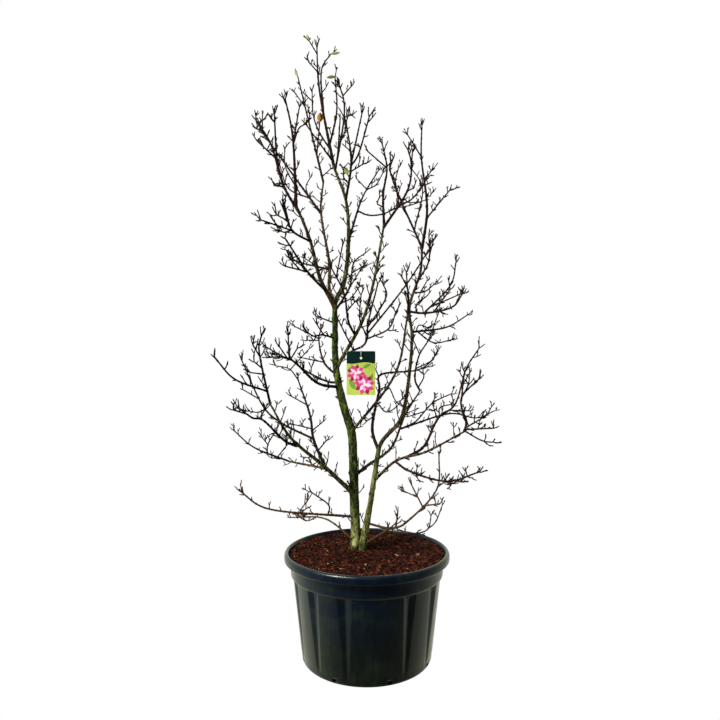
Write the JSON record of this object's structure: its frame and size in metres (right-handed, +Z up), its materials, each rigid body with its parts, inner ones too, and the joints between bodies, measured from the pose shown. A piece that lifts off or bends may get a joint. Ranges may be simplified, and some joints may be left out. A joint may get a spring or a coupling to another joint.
{
  "type": "potted magnolia",
  "caption": "Bare winter magnolia shrub on slender lichened stems in a round black nursery container, with a printed label card tied to a twig.",
  "frame": {"origin": "centre of the flat underside of the pot", "axes": "+Z up along the pot's axis, -Y the front that the label card faces, +X to the right of it"},
  "size_m": [1.6073, 1.2242, 3.2458],
  "materials": {
    "pot_plastic": "satin black",
    "compost": "loose bark chips",
    "stem_bark": "olive bark with lichen",
    "bough_bark": "dull brown-green bark",
    "twig_bark": "dull brown",
    "card_print": "printed gloss",
    "tie_plastic": "white"
  },
  "bodies": {
    "root": {"pot": "pot_plastic", "compost": "compost", "main_stem": "stem_bark", "second_stem": "stem_bark", "low_left_bough": "bough_bark", "left_rear_bough": "bough_bark", "right_bough": "bough_bark", "low_right_bough": "bough_bark", "cross_bough": "bough_bark", "label_bough": "bough_bark", "middle_bough": "bough_bark", "crown_left_bough": "bough_bark", "crown_rear_bough": "bough_bark", "leader_bough": "bough_bark", "low_left_twigs": "twig_bark", "low_rear_twigs": "twig_bark", "sucker": "twig_bark", "low_right_twigs": "twig_bark", "low_right_rear_twigs": "twig_bark", "left_outer_twigs": "twig_bark", "far_left_twigs": "twig_bark", "left_rear_twigs": "twig_bark", "left_inner_twigs": "twig_bark", "mid_left_twigs": "twig_bark", "mid_left_rear_twigs": "twig_bark", "upper_left_twigs": "twig_bark", "upper_left_front_twigs": "twig_bark", "upper_left_spur": "twig_bark", "left_wing_twigs": "twig_bark", "left_wing_rear_twigs": "twig_bark", "left_shoulder_twigs": "twig_bark", "left_plume": "twig_bark", "left_outer_plume": "twig_bark", "rear_left_plume": "twig_bark", "rear_plume": "twig_bark", "top_plume": "twig_bark", "top_right_plume": "twig_bark", "right_plume": "twig_bark", "right_plume_foot": "twig_bark", "middle_rear_twigs": "twig_bark", "middle_front_twigs": "twig_bark", "label_twigs": "twig_bark", "fork_left_plume": "twig_bark", "fork_right_plume": "twig_bark", "right_cross_plume": "twig_bark", "right_top_plume": "twig_bark", "right_shoulder_twigs": "twig_bark", "right_spray_rear": "twig_bark", "right_mid_twigs": "twig_bark", "right_arm_twigs": "twig_bark", "label_bough_twigs": "twig_bark", "inner_right_twigs": "twig_bark", "right_inner_twigs": "twig_bark", "right_long_twigs": "twig_bark", "right_fan_twigs": "twig_bark", "far_right_twigs": "twig_bark", "low_right_front_twigs": "twig_bark", "label_card": "card_print", "label_tie": "tie_plastic"}
  },
  "joints": []
}
